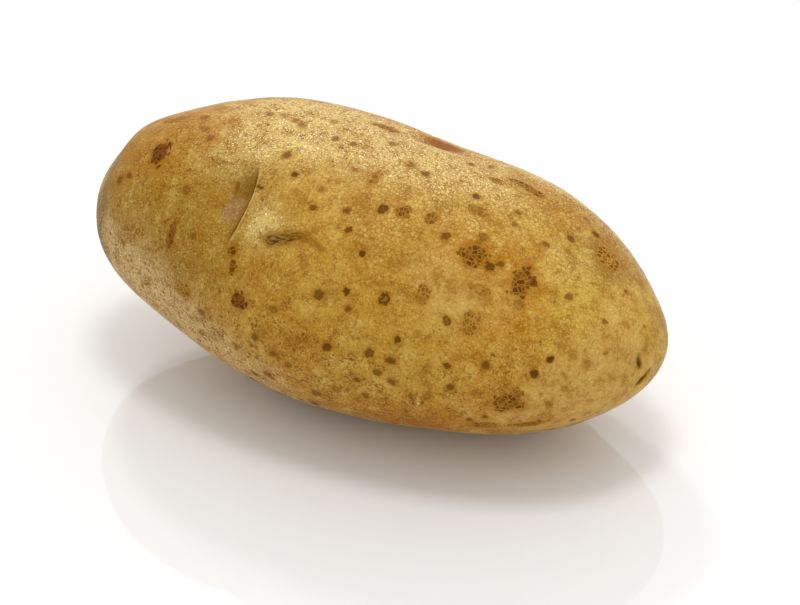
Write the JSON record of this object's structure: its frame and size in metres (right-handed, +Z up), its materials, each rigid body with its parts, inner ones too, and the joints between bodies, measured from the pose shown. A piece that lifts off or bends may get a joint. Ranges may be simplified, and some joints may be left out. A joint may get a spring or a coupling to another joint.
{
  "type": "potato",
  "caption": "Oblong potato tuber, blunt at the stem end and tapering to the bud end, with shallow eyes and netted, spotted skin, lying on a small flat spot.",
  "frame": {"origin": "on the resting surface, under the middle of the tuber's bounding box", "axes": "+Z up, +X along the tuber from the blunt stem end to the bud end, -Y to the front, where the largest eye is"},
  "size_m": [0.1084, 0.057, 0.0497],
  "materials": {
    "skin": "thin golden-brown potato skin, semi-gloss, with a fine pale net, brown pores and small netted scabs"
  },
  "bodies": {
    "root": {"potato": "skin"}
  },
  "joints": []
}
